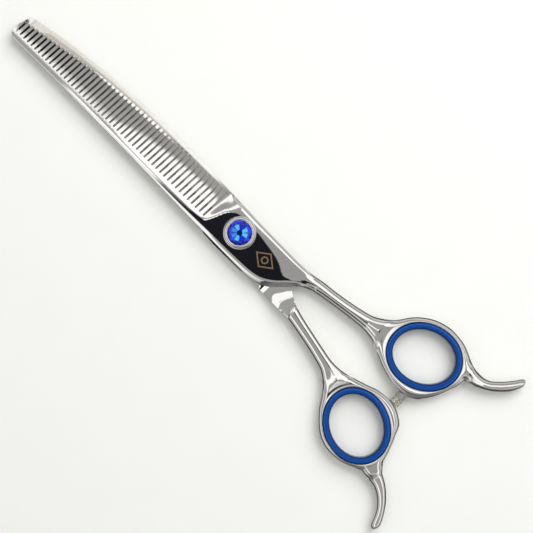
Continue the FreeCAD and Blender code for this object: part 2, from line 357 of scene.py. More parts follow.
def ground_steel(colour, name, roughness):
    """Steel left as the grinding wheel leaves it: duller, with fine cross marks."""
    material, tree, shader = new_material(name, 1.0)
    marks = noise(tree, object_coords(tree, (0.5, 6.0, 6.0)), 250.0, 2.0)
    finish(tree, shader, blend(tree, marks, rgba(colour), rgba(colour, 0.88)),
           remap(tree, marks, roughness - 0.06, roughness + 0.06), marks)
    return material


def hollow_steel():
    """Hollow of the plain blade: ground bright near the pivot, with painted shade darkening it
    towards the tip.
    """
    material, tree, shader = new_material("Ground hollow with painted shade", 1.0)
    marks = noise(tree, object_coords(tree, (0.5, 6.0, 6.0)), 700.0, 3.0)
    along = split(tree, object_coords(tree))[1]
    # painted shade: darker along the blade towards the tip, where it lies in shade under the
    # toothed blade's slots; the grinding marks mix in
    painted_shade = math_node(tree, "MULTIPLY_ADD", marks, 0.15,
                      remap(tree, along, 0, 0.85, 0.02, 0.085))
    finish(tree, shader, blend(tree, painted_shade, (0.62, 0.59, 0.55, 1), (0.03, 0.028, 0.026, 1)),
           remap(tree, marks, 0.34, 0.46), marks)
    return material


def emblem_mask(tree):
    """Generic etched ornament on the flat: a lozenge with a ring in it."""
    calc = partial(math_node, tree)
    x, y, z = split(tree, object_coords(tree, (1000, 1000, 1000), (0.3, 12.3, 0)))
    lozenge = calc("ADD", calc("DIVIDE", calc("ABSOLUTE", x), 3.2),
                   calc("DIVIDE", calc("ABSOLUTE", y), 4.2))
    outline = calc("LESS_THAN", calc("ABSOLUTE", calc("SUBTRACT", lozenge, 0.9)), 0.09)
    from_ring = calc("ABSOLUTE", calc("SUBTRACT", radius_from(tree, x, y), 1.05))
    mask = calc("MAXIMUM", outline, calc("LESS_THAN", from_ring, 0.24))
    return calc("MULTIPLY", mask, calc("GREATER_THAN", z, 4.0))


def turned_steel(colour, name, roughness=0.2):
    """Lathe-turned steel: fine rings round the pivot axis."""
    material, tree, shader = new_material(name, 1.0)
    rings = node(tree, "ShaderNodeTexWave", "Fac", Vector=object_coords(tree), Scale=900.0,
                 Distortion=0.4, Detail=1.0)
    rings.node.wave_type = "RINGS"
    rings.node.rings_direction = "Z"
    grain = noise(tree, object_coords(tree), 500.0)
    finish(tree, shader, blend(tree, grain, rgba(colour), rgba(colour, 0.85)),
           remap(tree, grain, roughness, roughness + 0.12), rings, 0.08)
    return material


def insert_plastic(colour):
    """Glossy soft plastic with faint flow marks; across its section a painted highlight band and
    painted dark rims.
    """
    material, tree, shader = new_material("Blue insert")
    flow = noise(tree, object_coords(tree, (1, 1, 3)), 220.0, 2.0)
    across = node(tree, "ShaderNodeAttribute", "Fac")
    across.node.attribute_name = "across"
    # painted highlight band towards the seat side and painted dark rims at both edges of the
    # section, by the share across it
    tones = ((0.0, 0.4), (0.12, 0.5), (0.3, 0.85), (0.6, 0.95), (0.74, 1.35), (0.84, 1.1),
             (0.93, 0.4), (1.0, 0.2))
    depth = colour_ramp(tree, across, [(place, (*(min(1, tone * c) for c in colour), 1))
                                       for place, tone in tones])
    finish(tree, shader, blend(tree, flow, depth, (0.8, 0.88, 0.95, 1), "MULTIPLY"),
           remap(tree, flow, 0.12, 0.22), flow, 0.05, 0.0001)
    shader.inputs["Specular IOR Level"].default_value = 0.22
    return material


def crystal_glass(deep, bright):
    """Blue crystal over a mirror foil; painted reflections of its back facets show through the
    table, with painted glints on the crown.
    """
    material, tree, shader = new_material("Foil-backed crystal")
    calc = partial(math_node, tree)
    x, y, _ = split(tree, object_coords(tree, (1000, 1000, 1000)))
    radius = radius_from(tree, x, y)
    around = calc("ADD", calc("DIVIDE", calc("ARCTAN2", y, x), 2 * math.pi), 0.5)
    # painted reflection of the back facets seen through the table: each eighth has its own tone
    eighths = calc("MULTIPLY", around, 8)
    wave = calc("SINE", calc("MULTIPLY_ADD", calc("FLOOR", eighths), 2.356, 2.2))
    half = [mix(a, b, 0.45) for a, b in zip(deep, bright)]
    back = colour_ramp(tree, calc("MULTIPLY_ADD", wave, 0.5, 0.5),
                       ((0.0, rgba(deep)), (0.2, rgba(half)), (0.5, rgba(bright))), "CONSTANT")
    # painted dark lines along the facet edges and a painted dark centre
    edge = calc("ABSOLUTE", calc("SUBTRACT", calc("FRACT", eighths), 0.5))
    spoke = calc("GREATER_THAN", calc("MULTIPLY", edge, radius), 0.76)
    thin = calc("GREATER_THAN", edge, 0.42)
    dark = calc("MAXIMUM", calc("LESS_THAN", radius, 0.95),
                calc("MAXIMUM", calc("MULTIPLY", spoke, 0.6), calc("MULTIPLY", thin, 0.75)))
    table = blend(tree, dark, back, (0.003, 0.012, 0.09, 1))
    # painted glints on the crown facets beyond the table: two rings of alternating tones
    cell = node(tree, "ShaderNodeCombineXYZ", "Vector",
                X=calc("FLOOR", calc("MULTIPLY", around, 24)),
                Y=calc("FLOOR", calc("MULTIPLY", radius, 1.45)))
    tone = node(tree, "ShaderNodeTexWhiteNoise", "Value", Vector=cell)
    tone.node.noise_dimensions = "2D"
    crown = blend(tree, tone, (0.002, 0.006, 0.10, 1), (0.03, 0.06, 0.85, 1))
    finish(tree, shader, blend(tree, calc("GREATER_THAN", radius, 2.75), table, crown), 0.06)
    shader.inputs["Specular IOR Level"].default_value = 0.25
    return material


def moulded(name, colour, shade, scale, detail, rough, clearness=0.0):
    """Moulded plastic or silicone, a little cloudy; rough holds its lowest and highest value."""
    material, tree, shader = new_material(name)
    cloud = noise(tree, object_coords(tree), scale, detail)
    finish(tree, shader, blend(tree, cloud, rgba(colour), rgba(colour, shade)),
           remap(tree, cloud, *rough))
    shader.inputs["Transmission Weight"].default_value = clearness
    return material


# ---- settings ----
def colour_setting(name, description, default):
    """Colour that the panel offers."""
    return FloatVectorProperty(name=name, description=description, subtype="COLOR", size=3,
                               min=0, max=1, default=default)


class ShearColours(bpy.types.PropertyGroup):
    """Colours of the finishes."""

    steel: colour_setting("Steel", "Polished stainless steel", (0.78, 0.765, 0.75))
    insert: colour_setting("Insert", "Finger-ring inserts", (0.003, 0.062, 0.29))
    crystal: colour_setting("Crystal", "Deep colour of the crystal", (0.012, 0.03, 0.62))
    # painted glint: colour of the brightest facets of the crystal
    painted_glint: colour_setting("Painted glint", "Bright facets of the crystal", (0.10, 0.50, 1.0))
    nickel: colour_setting("Nickel", "Bumper collar", (0.74, 0.70, 0.60))


def length_setting(name, description, default):
    """Length in millimetres that the panel offers."""
    return FloatProperty(name=name, description=description + " in mm", default=default,
                         precision=4)


class ShearSizes(bpy.types.PropertyGroup):
    """Sizes a maker would change, in millimetres."""

    slots: IntProperty(name="Slots", description="Slots ground between the teeth", default=50,
                       min=2)
    slot_width: length_setting("Slot width", "Width of one slot", 0.75)
    slot_pitch: length_setting("Pitch", "Pitch of the slots at the pivot", 1.87)
    pitch_drop: length_setting("Pitch drop", "Loss of pitch per slot", 0.0035)
    edge: length_setting("Edge", "Rounding on the ground edges", 0.06)
    insert_height: length_setting("Insert height", "Thickness of a ring insert", 5.0)


# ---- rounded sections of the handles and of the necks that run into them ----
COMB_LEFT = rise(
    (0, 44), (0.28, 41), (0.42, 34), (0.65, 26), (0.8, 5), (0.9, 0), (1.3, 0), (1.4, 8),
    (1.5, 13), (1.8, 13), (1.95, 5), (9, 5))
COMB_RIGHT = rise(
    (0, 44), (0.28, 41), (0.38, 34), (0.5, 30), (0.9, 27), (1.2, 25), (1.35, 20), (1.5, 14),
    (1.75, 14), (1.9, 6), (2.1, 5), (9, 5))
PLAIN_LEFT = rise(
    (0, 44), (0.32, 41), (0.45, 35), (0.65, 31), (0.85, 22), (1, 14), (1.3, 13), (1.45, 5),
    (2.8, 5), (3, 14), (9, 14))
PLAIN_RIGHT = rise(
    (0, 44), (0.3, 41), (0.5, 32), (0.65, 20), (0.8, 14), (1.15, 13), (1.3, 8), (1.6, 8),
    (1.8, 14), (9, 14))
RING = rise((0, 44), (0.3, 41), (0.4, 31), (1.45, 25), (1.65, 16), (1.9, 13), (2.1, 5), (9, 5))
# lips round the bores, on the shank's side and on the finger rest's side
COMB_SEAT = (rise((0, 45), (0.1, 40), (0.15, 15), (1.2, 13), (1.4, 5), (9, 5)),
             rise((0, 45), (0.1, 40), (0.15, 18), (1.5, 17), (1.7, 0), (9, 0)))
PLAIN_SEAT = (rise((0, 45), (0.1, 40), (0.15, 15), (0.6, 14), (0.7, 0), (1.5, 0), (1.7, 14),
                   (9, 14)),
              rise((0, 45), (0.1, 40), (0.15, 15), (0.7, 14), (0.8, 0), (9, 0)))


def comb_section(from_left, from_right):
    """Top of the toothed side's handle by distance from its two outlines."""
    return lower(COMB_CREST_Z - COMB_LEFT(1.9) + COMB_LEFT(from_left),
                 COMB_CREST_Z - COMB_RIGHT(2.4) + COMB_RIGHT(from_right), 0.02)


def plain_section(from_left, from_right):
    """Top of the plain side's handle by distance from its two outlines."""
    return lower(PLAIN_CREST_Z - PLAIN_LEFT(2.7) + PLAIN_LEFT(from_left),
                 PLAIN_CREST_Z - PLAIN_RIGHT(1.35) + PLAIN_RIGHT(from_right), 0.02)


# ---- toothed blade ----
comb_spine = track(
    (-31, 4.2), (-28.6, 3.2), (-26.8, 2), (-25.3, 0.6), (-24, -1), (-22, -3), (-19.8, -5.2),
    (-17, -7), (-13, -7.9), (-8, -8.2), (0, -8.3), (20, -8.35), (40, -8.3), (62, -8.45),
    (82, -8.75), (99.4, -9.15), (100.3, -9), (101.1, -8.4), (101.6, -7.4))
comb_rim = track(
    (-31, 6.1), (-29.5, 5.75), (-27.5, 4.95), (-26.2, 4.1), (-24.2, 2.15), (-22.1, 0.15),
    (-20.1, -2), (-17.6, -4), (-15, -5.4), (-12, -6.15), (-6, -6.65), (0, -6.9), (8, -7.15),
    (20, -7.6), (35, -7.8), (62, -8), (82, -8.35), (99.4, -8.75), (100.3, -8.55), (101.1, -7.95),
    (101.6, -7))
comb_right = track(
    (-31, 8.75), (-27, 7.9), (-22, 7.4), (-14, 7.25), (0, 7.2), (11, 7.2), (11.6, 6.9), (18, 6.6),
    (27, 6.3), (35, 5.97), (44.5, 5.5), (54, 4.7), (66, 3.6), (73, 2.65), (80, 1.5), (86.5, 0.25),
    (93, -1), (99.6, -2.25), (101.6, -2.6))
slot_root = track(
    (12.7, -4.8), (26, -5.2), (40, -5.6), (55, -5.95), (66, -6.3), (80, -6.7), (101, -7.1))
scoop_edge = track(
    (12, -5.6), (14, -6), (20, -6.35), (33, -6.75), (66, -7.2), (90, -7.7), (101, -8))
facet_edge = track(
    (-31, 6), (-24, 1.5), (-20, 0), (-18, 1.2), (-16, 2.1), (-12, 3), (-8, 3.5), (-4, 4),
    (3.5, 4), (6, 3.4), (9, 1.8))
lip_start = track(
    (-6.2, 16), (-5.9, 14), (-5.6, 12.5), (-4.6, 11.3), (-3.5, 10.5), (-2, 9.9), (0, 9.2),
    (1.8, 8.5), (3.4, 7.5), (6.3, 6.3))
lip_end = track((-6.2, 18), (-5, 13.2), (-2.5, 12.4), (-1, 12.15), (1, 12), (6.3, 12))


def comb_top(x, y):
    """Height of the toothed blade's upper face."""
    top = TOP_Z - TIP_THIN * max(0.0, (y - 12) / BLADE_LENGTH)
    left, right = scoop_edge(y), comb_right(y)
    if y > 5 and x > left:
        share = (x - left) / max(0.5, right - left)     # the hollow eases towards the points
        depth = (right - left) * (0.213 * share - 0.077 * share * share)
        along = min(1.0, max(0.0, (y - lip_start(x)) / (lip_end(x) - lip_start(x))))
        top -= depth * mix(along, ramp(along, 0.0, 1.0), 0.4)
    if y < 12:
        past = max(0.0, x - facet_edge(y))
        top -= FACET_SLOPE * past * ramp(past, 0.0, 1.2) * (1 - ramp(y, 8.0, 12.0))
    return top


class SHEARS_OT_comb_blade(bpy.types.Operator):
    """Toothed blade: flat ricasso, long spine bevel, hollow-ground teeth"""

    bl_idname = "shears.comb_blade"
    bl_label = "Toothed blade"

    inner = 14                                  # columns between root and tooth point

    def execute(self, context):
        sizes = context.scene.shear_sizes
        rows = [-31.5, *range(-31, -13), -12.5, -11, -9, -7, -5, -3, -1, 1, 3, 5, 6, 7, 7.8, 8.4,
                9, 9.5, 10, 10.4, 10.8, 11.2, 11.6, 12.0]
        cells = []                              # first row of every slot
        y = SLOT_FIRST_Y
        half = 0.5 * sizes.slot_width
        for number in range(sizes.slots):
            cells.append(len(rows))
            rows += [y - half, y - 0.55 * half, y, y + 0.55 * half, y + half]
            pitch = sizes.slot_pitch - sizes.pitch_drop * number
            if number < sizes.slots - 1:
                rows += [y + half + (pitch - 2 * half) * share for share in (0.1, 0.5, 0.9)]
            y += pitch
        rows += [rows[-1] + 0.2, 101.1, TIP_Y]
        slot_rows = {first + step for first in cells for step in range(4)}
        rounding = {first + step: (0.0, 0.75, 1.0, 0.75, 0.0)[step] * half
                    for first in cells for step in range(5)}
        first = 8                               # columns left of the slots
        columns = first + self.inner + 3
        last = len(rows) - 1

        def across(i, j):
            """X of column i on row j."""
            yy = rows[j]
            left, right, rim = comb_spine(yy), comb_right(yy), comb_rim(yy)
            toothed, tips = ramp(yy, 0.0, 8.0), ramp(yy, 9.5, 12.0)
            facet = mix(0.45, 0.3, toothed) * mix(1.0, 1.35,
                                                  ramp(-yy, 14, 18) * (1 - ramp(-yy, 26, 30)))
            scoop = scoop_edge(yy)
            stops = [left, max(mix(left, rim, 0.3), rim - 1.75 * facet - 0.05), rim - facet,
                     rim - 0.05, rim + 0.1,
                     mix(mix(rim, right, 0.12), scoop - 0.15, toothed),
                     mix(mix(rim, right, 0.17), scoop + 0.15, toothed)]
            for k in range(1, len(stops)):          # at the tip the outline cuts across the columns
                stops[k] = max(stops[k], stops[k - 1] + 0.04)
            root = slot_root(yy) + half - rounding.get(j, 0.0)
            start = max(stops[-1] + 0.04, mix(mix(rim, right, 0.22), root, toothed))
            end = right - mix(1.25, 0.6, tips)
            edge = [right - mix(1.02, 0.25, tips), right - mix(0.9, 0.17, tips),
                    right - mix(0.55, 0.1, tips), right]
            if i < first - 1:
                x = stops[i]
            elif i < columns - 4:
                x = mix(start, end, (i - first + 1) / (columns - 4 - first + 1))
            else:
                x = edge[i - (columns - 4)]
            return mix(x, mix(left, right, i / (columns - 1)), ramp(-yy, 24.5, 28.5))

        def place(i, j, top):
            """Corner of column i and row j on the upper or lower face."""
            x = across(i, j)
            yy = rows[j]
            lean = TOOTH_LEAN * max(0.0, x - slot_root(yy)) * ramp(yy, 9, 12)
            y_here = yy - lean * (1 - ramp(yy, 99, 101))
            if j == last:
                y_here = yy - 0.5 * ramp(x, -5.0, -2.6)
            neck = ramp(-yy, 24.5, 30.0)
            section = comb_section(0.98 * (x - comb_spine(yy)), 0.98 * (comb_right(yy) - x))
            if not top:
                low = PARTING_Z + 0.05
                return Vector((x, y_here, mix(low, min(low, 2 * MIDDLE_Z - section), neck)))
            z = comb_top(x, yy)
            if i < 3:                               # bevel along the spine
                z -= (0.11 + 0.3995 * (across(1, j) - x), 0.105, 0.1)[i]
            flat = 1 - ramp(yy, 9.5, 12.0)
            z -= {columns - 1: 0.42, columns - 2: 0.16, columns - 3: 0.012}.get(i, 0.0) * flat
            z = mix(z, section, neck)
            return Vector((x, y_here, max(z, PARTING_Z + 0.3 if neck < 1 else 0.0)))

        def gaps(i, j):
            """Cells that a slot takes away."""
            return j in slot_rows and i >= first - 1

        bm = grid_block(columns, len(rows), place, 6.3, gaps)
        # slot walls get near-black ground steel: painted shade in the deep, narrow slots
        for face in bm.faces:
            middle = face.calc_center_median()
            if abs(face.normal.z) < 0.2 and middle.y > 12 and middle.x > slot_root(middle.y) - 0.1:
                face.material_index = 1
        steel = polished_steel(context.scene.shear_colours.steel, "Blade steel", emblem=True)
        # near-black base colour: painted shade on the slot walls
        slots = ground_steel((0.16, 0.155, 0.15), "Ground slots with painted shade", 0.3)
        piece = make_piece(bm, "Comb_blade", "comb_side", ["comb_blade"],
                           [steel, slots], 24)
        soften_edges(piece, sizes.edge, 24)
        return {"FINISHED"}


# ---- plain blade ----
plain_right = track(
    (-31.3, -3.6), (-28.3, -2.2), (-25.6, -0.6), (-22.4, 1.8), (-19, 4.2), (-15, 6), (-9, 6.9),
    (-2, 7.2), (10, 7.35), (24, 7.5), (37, 7.3), (49, 6.8), (61, 5.9), (74, 4.5), (86, 2.9),
    (94, 1.3), (98.5, 0.35), (99.6, 0.1), (100.3, -0.35), (100.8, -1.1), (101.1, -2.2))
plain_left = track(
    (-31.3, -8.1), (-27, -8.3), (-20, -8.3), (-8, -8.6), (0, -8.9), (7, -8.8), (9.6, -8.3),
    (10, -7.6), (11.2, -0.95), (12.5, -0.9), (25, -1.3), (45, -2.2), (65, -3.4), (85, -5),
    (99, -6.4), (101, -5.8))
cove_top = track(
    (-8.3, -24.2), (-7.9, -23.8), (-7.2, -23), (-6.3, -22.5), (-5, -23.1), (-4, -23.8),
    (-3, -24.4), (-2, -25), (-1.2, -25.8))
cove_foot = track(
    (-8.3, -26.3), (-7.8, -26.1), (-7, -25.8), (-6, -25.6), (-5.2, -25.75), (-4.5, -26),
    (-3.7, -26.4), (-3, -26.8), (-2, -26.9), (-1.2, -26.5))


def heel_top(x, y):
    """Sculpted heel: it climbs from the parting plane to the handle in a row of slopes."""
    top, foot = cove_top(x), cove_foot(x)
    z = PARTING_Z
    for start, end, slope in ((-18.3, -19.8, 4.7), (-19.8, top, 7.5), (top, foot, 15.0),
                              (foot, foot - 0.2, 7.5), (foot - 0.2, foot - 0.6, 14.0),
                              (foot - 0.6, -32.0, 7.8)):
        z += math.tan(math.radians(slope)) * min(max(start - y, 0.0), start - end)
    return z


class SHEARS_OT_plain_blade(bpy.types.Operator):
    """Plain blade: hollow inner face, bevelled cutting edge, sculpted heel block"""

    bl_idname = "shears.plain_blade"
    bl_label = "Plain blade"

    columns = 24

    def execute(self, context):
        rows = [-31.8, -31.3, -31.0, -30.8, -30.6, -30.3, -29.6]
        rows += [-29.0 + 0.2 * step for step in range(56)]          # close together on the heel
        rows += [-17.6, -17, -14, -11, -8, -5, -2, 1, 4, 7, 8.5,
                 9.6, 10.0, 10.4, 10.8, 11.2, 12, 14]
        rows += [14 + 3.0 * step for step in range(1, 29)]
        rows += [98.9, 99.6, 100.3, 100.8, 101.1]
        last = self.columns - 1

        def across(i, y):
            """X of column i at a distance y along the blade."""
            left, right = plain_left(y), plain_right(y)
            block = 1 - ramp(y, -19.0, -16.0)
            stops = [left, left + mix(0.35, 0.25, block),
                     mix(mix(left, right, 0.08) + 0.3, left + 0.5, block)]
            strip = mix(1.3, right - comb_right(y) + 0.3, ramp(y, 11.0, 14.0))
            strip *= 1 - ramp(y, 99.0, 101.0)
            edge = [right - mix(strip + 0.38, 0.75, block), right - mix(strip + 0.22, 0.5, block),
                    right - mix(0.33 * strip + 0.1, 0.25, block), right]
            if i < 3:
                return stops[i]
            if i > last - 4:
                return edge[i - (last - 3)]
            return mix(stops[2], edge[0], (i - 2) / (last - 5))

        def place(i, j, top):
            """Corner of column i and row j on the upper or lower face."""
            y = rows[j]
            x = across(i, y)
            left, right = plain_left(y), plain_right(y)
            block = ramp(0.12 * abs(x + 4.6) + y, -31.1, -30.5)     # narrow flanks on the block
            spread = mix(0.98, 2.3, block)
            section = min(4.8, plain_section(spread * (x - left), spread * (right - x)))
            if top:
                inside = across(last - 3, y) + 0.08
                share = min(1.0, (x - left) / (inside - left))
                hollow = 4.0 * share * (1 - share) * ramp(y, 12.0, 20.0)
                z = PARTING_Z - INNER_HOLLOW * hollow
                z -= mix(0.17, 0.14, ramp(y, 60, 96)) * max(0.0, x - inside) * ramp(y, 12.0, 20.0)
                bare = max(0.0, comb_spine(y) + 0.5 - x)    # beyond the toothed blade's back
                z -= 0.1 * bare * (1 - ramp(y, -11.0, -7.0)) * ramp(y, -18.2, -17.0)
                if y < -17.0:
                    z = mix(section, lower(heel_top(x, y), section + 0.28, 0.03), block)
                return Vector((x, y, z))
            z = UNDER_Z + TIP_THIN * max(0.0, (y - 12) / BLADE_LENGTH)
            bevel = max(0.0, 1 - (x - left) / 2.6) * ramp(y, 9.6, 11.2)
            z = mix(z, PARTING_Z - 0.12, bevel)
            if i in (0, last) and bevel == 0:
                z += 0.35
            z = mix(z, 2 * MIDDLE_Z - section, ramp(-y, 26.0, 31.0))
            return Vector((x, y, z))

        bm = grid_block(self.columns, len(rows), place, -5.9)
        # faces under the toothed blade get the hollow steel with its painted shade; the rest of the
        # inner face is the riding strip
        for face in bm.faces:
            middle = face.calc_center_median()
            if face.normal.z > 0.5 and middle.y > 11:
                face.material_index = 1 if middle.x < comb_right(middle.y) - 0.5 else 2
        steel = polished_steel(context.scene.shear_colours.steel, "Plain blade steel")
        hollow = hollow_steel()
        strip = ground_steel((0.82, 0.79, 0.74), "Riding strip", 0.2)
        piece = make_piece(bm, "Plain_blade", "plain_side", ["plain_blade"],
                           [steel, hollow, strip], 26)
        soften_edges(piece, context.scene.shear_sizes.edge, 26)
        return {"FINISHED"}


# ---- handles ----
RING_STEPS = 144       # one vertex every 2.5 degrees
SEAT = (13.2, 11.25)   # half axes of the bore that holds the insert
LAYERS = (0.0, 0.07, 0.15, 0.24, 0.34, 0.45, 0.56, 0.67, 0.78, 0.87, 0.94, 1.0)
# outer radius of each ring round its bore's centre, by angle in degrees
right_outline = track(
    (0, 12.95), (15, 12.7), (30, 12.75), (45, 13), (60, 13.6), (75, 14.4), (90, 14.9), (105, 15),
    (120, 15.3), (130, 15.9), (137, 15.1), (145, 14.55), (153, 14.1), (161, 13.85), (170, 13.8),
    (180, 13.8), (195, 14.15), (203, 14.35), (212, 14.35), (225, 14), (240, 13.7), (255, 13.75),
    (265, 14.1), (275, 14.9), (285, 15.6), (295, 15), (305, 15.1), (312.5, 15.4), (322, 14.7),
    (334, 14), (346, 13.35), (360, 12.95))
left_outline = track(
    (0, 14), (15, 13.85), (30, 13.95), (39, 14.6), (47, 15.5), (52.5, 16.4), (60, 15.6),
    (75, 14.9), (90, 14.7), (105, 14.15), (120, 13.1), (135, 12.6), (150, 12.5), (165, 12.5),
    (180, 12.55), (195, 12.85), (205, 13.2), (214, 13.55), (222, 13.95), (232.5, 14.9),
    (240, 14.4), (250, 14.4), (262.5, 14.9), (270, 14.3), (285, 13.5), (300, 13.4), (307, 13.7),
    (315, 14.2), (330, 14.3), (345, 14.2), (360, 14))


def ellipse_point(centre, semi, tilt, angle):
    """Point on an ellipse whose long axis leans by tilt degrees from Y."""
    u, w = semi[0] * math.cos(angle), semi[1] * math.sin(angle)
    lean = math.radians(90 + tilt)
    return Vector((centre[0] + u * math.cos(lean) - w * math.sin(lean),
                   centre[1] + u * math.sin(lean) + w * math.cos(lean), 0))


def nearest(points):
    """Distance finder for a dense row of points."""
    tree = KDTree(len(points))
    for number, point in enumerate(points):
        tree.insert(point, number)
    tree.balance()
    return lambda point: tree.find(point)[2]


def dense(points, spacing=0.06):
    """Points close together along the line through the given ones."""
    line = []
    for a, b in zip(points, points[1:]):
        count = max(1, int((b - a).length / spacing))
        line += [a.lerp(b, k / count) for k in range(count)]
    return line + [points[-1]]


def bar_rows(stations, gate, per_station):
    """Rows of points from the ring's gate along a bar; stations are (left x, y, right x, y)."""
    sides = [track(*enumerate(values)) for values in
             zip((gate[0].x, gate[0].y, gate[-1].x, gate[-1].y), *stations)]
    rows = []
    for step in range(1, len(stations) * per_station + 1):
        at = step / per_station
        left, right = (Vector((sides[k](at), sides[k + 1](at), 0)) for k in (0, 2))
        row = []
        for k, point in enumerate(gate):
            share = k / (len(gate) - 1)
            bow = point - gate[0].lerp(gate[-1], share)
            row.append(left.lerp(right, share) + bow * (1 - ramp(at, 0.0, 2.5)))
        rows.append(row)
    return rows


def handle_mesh(centre, tilt, outline, shank, shank_gate, tang, tang_gate, section, lips,
                climb):
    """Handle in one skin: ring, shank up to the blade and curved finger rest.

    Gates are the first and last ring steps a bar grows from; section gives the height of the
    top by distance from both outlines, lips its height by distance from the bore; over the
    climb, a distance range from the bore, the bars step up to the thicker ring.
    """
    def ring_point(step, share):
        """Point of the ring in plan, a share of the way from the bore to the outline."""
        angle = 2 * math.pi * step / RING_STEPS
        reach = Vector((math.cos(angle), math.sin(angle), 0))
        lean = angle - math.radians(90 + tilt)
        seat = 1 / math.hypot(math.cos(lean) / SEAT[0], math.sin(lean) / SEAT[1])
        return Vector((*centre, 0)) + reach * mix(seat, outline(math.degrees(angle) % 360), share)

    bm = bmesh.new()
    spin_line(bm, [(1 + share, 0) for share in LAYERS], RING_STEPS)
    for v in bm.verts:
        step = round(math.atan2(v.co.y, v.co.x) / (2 * math.pi) * RING_STEPS) % RING_STEPS
        v.co = ring_point(step, v.co.length - 1)
    sides = [[], []]
    for stations, (first, last) in ((shank, shank_gate), (tang, tang_gate)):
        way = 1 if last > first else -1
        gate = [ring_point(step, 1.0) for step in range(first, last + way, way)]
        rows = [gate] + bar_rows(stations, gate, 5)
        bar = bmesh.ops.create_grid(bm, x_segments=len(gate) - 1, y_segments=len(rows) - 1,
                                    size=1.0)["verts"]
        for v in bar:
            i, j = grid_steps(v, len(gate), len(rows))
            v.co = rows[j][i]
        sides[0].append([row[0] for row in rows])
        sides[1].append([row[-1] for row in rows])
    bmesh.ops.remove_doubles(bm, verts=bm.verts, dist=0.002)
    around_left = [ring_point(step, 1.0) for step in range(shank_gate[0], tang_gate[0] + 1)]
    around_right = [ring_point(step % RING_STEPS, 1.0)
                    for step in range(tang_gate[1], shank_gate[1] + RING_STEPS + 1)]
    left = nearest(dense(sides[0][0][::-1]) + dense(around_left) + dense(sides[0][1]))
    right = nearest(dense(sides[1][0][::-1]) + dense(around_right) + dense(sides[1][1]))
    seat = nearest(dense([ring_point(0.5 * step, 0.0) for step in range(2 * RING_STEPS)]))

    def top(point):
        """Height of the upper face over a place in plan."""
        from_seat = seat(point)
        past = min(1.0, max(0.0, (from_seat - climb[0]) / (climb[1] - climb[0])))
        bar = section(left(point), right(point)) + RING_LIFT * (1 - past)
        ring = RING_CREST_Z - RING(1.9) + RING(min(left(point), right(point)))
        z = mix(ring, bar, ramp(from_seat, 2.6, 4.6))
        lip = mix(lips[1](from_seat), lips[0](from_seat), ramp(point.y - centre[1], -6.0, 6.0))
        tucked = 0.15 if point.y > shank[-2][1] + 0.1 else 0.0      # end inside the blade's neck
        return lower(lower(z, SEAT_Z + lip, 0.03), HANDLE_TOP, 0.1) - tucked

    bmesh.ops.recalc_face_normals(bm, faces=bm.faces)
    flat = bm.verts[:]
    for v in extruded(bm):
        v.co.z = top(v.co.copy())
    for v in flat:
        v.co.z = max(0.02, 2 * MIDDLE_Z - top(v.co.copy()))
    check_closed(bm, "handle")
    bmesh.ops.recalc_face_normals(bm, faces=bm.faces)
    crease = bm.edges.layers.float.new("crease_edge")
    for edge in bm.edges:
        if edge.calc_face_angle(0.0) > math.radians(38):
            edge[crease] = 1.0
    return bm


# stations from the ring outwards: left x, y, right x, y
comb_shank = (
    (6.8, -57, 17, -56.6), (7.3, -54.5, 14.6, -53.8), (7.45, -51.5, 12.7, -50.6),
    (7.1, -48, 11.6, -46.9), (6.4, -43, 10.55, -42.3), (5.4, -37, 9.45, -36.3),
    (4.85, -34, 9.1, -33.6), (4.2, -31, 8.75, -31), (4.4, -30.6, 8.5, -30.6),)
comb_tang = (
    (20.6, -89.2, 25.2, -86.6), (21, -90.6, 25, -89.3), (21.8, -92.5, 25.2, -91.6),
    (23.1, -94.9, 26, -93.6), (24.6, -96.9, 27.3, -95.1), (26.4, -98.8, 28.8, -96.6),
    (28.5, -100.6, 30.5, -98), (30.8, -101.9, 32.2, -99.3), (32.7, -102.5, 33.6, -100.2),
    (33.9, -102.2, 34.3, -100.8), (34.4, -101.75, 34.55, -101.25),)
plain_shank = (
    (-16.8, -57.2, -7, -58.4), (-13.9, -54.2, -7.5, -55.5), (-12.1, -51.3, -7.6, -52.5),
    (-11, -47.3, -7, -48.3), (-10.05, -43, -6.15, -43.7), (-9, -37, -5, -37.6),
    (-8.5, -34, -4.35, -34.5), (-8.1, -31.3, -3.6, -31.3), (-7.9, -30.9, -3.8, -30.9),)
plain_tang = (
    (-25.8, -87.4, -20.3, -89.7), (-26, -89.6, -21.6, -91.2), (-26.3, -91.8, -22.6, -93),
    (-27.2, -93.9, -23.8, -94.9), (-28.6, -95.8, -25.5, -96.9), (-30.3, -97.5, -27.9, -99.2),
    (-32.4, -98.9, -30.6, -101.1), (-34.4, -99.8, -32.9, -102.4), (-35.9, -100.5, -34.6, -102.9),
    (-36.45, -101.3, -35.8, -102.6), (-36.5, -101.8, -36.3, -102.2),)


class SHEARS_OT_handles(bpy.types.Operator):
    """The two cast handles: shank, finger ring and finger rest in one"""

    bl_idname = "shears.handles"
    bl_label = "Handles"

    def execute(self, context):
        steel = polished_steel(context.scene.shear_colours.steel, "Handle steel")
        for name, body, cad, *shape in (
                ("Comb_handle", "comb_side", "comb_handle", RIGHT_HOLE, RING_TILT, right_outline,
                 comb_shank, (52, 30), comb_tang, (114, 125), comb_section, COMB_SEAT, (3.2, 9.0)),
                ("Plain_handle", "plain_side", "plain_handle", LEFT_HOLE, -RING_TILT, left_outline,
                 plain_shank, (42, 21), plain_tang, (93, 105), plain_section, PLAIN_SEAT,
                 (2.0, 5.5))):
            bm = handle_mesh(*shape)
            subdivide(make_piece(bm, name, body, [cad], [steel], 38))
        return {"FINISHED"}


# ---- ring inserts ----
# section of an insert: (share from the finger hole to the seat, share of half the height)
INSERT_SECTION = (
    (0, 0), (0, 0.62), (0.12, 0.92), (0.42, 1), (0.70, 0.98), (0.93, 0.90), (1, 0.72), (1, -0.72),
    (0.93, -0.90), (0.70, -0.98), (0.42, -1), (0.12, -0.92), (0, -0.62))


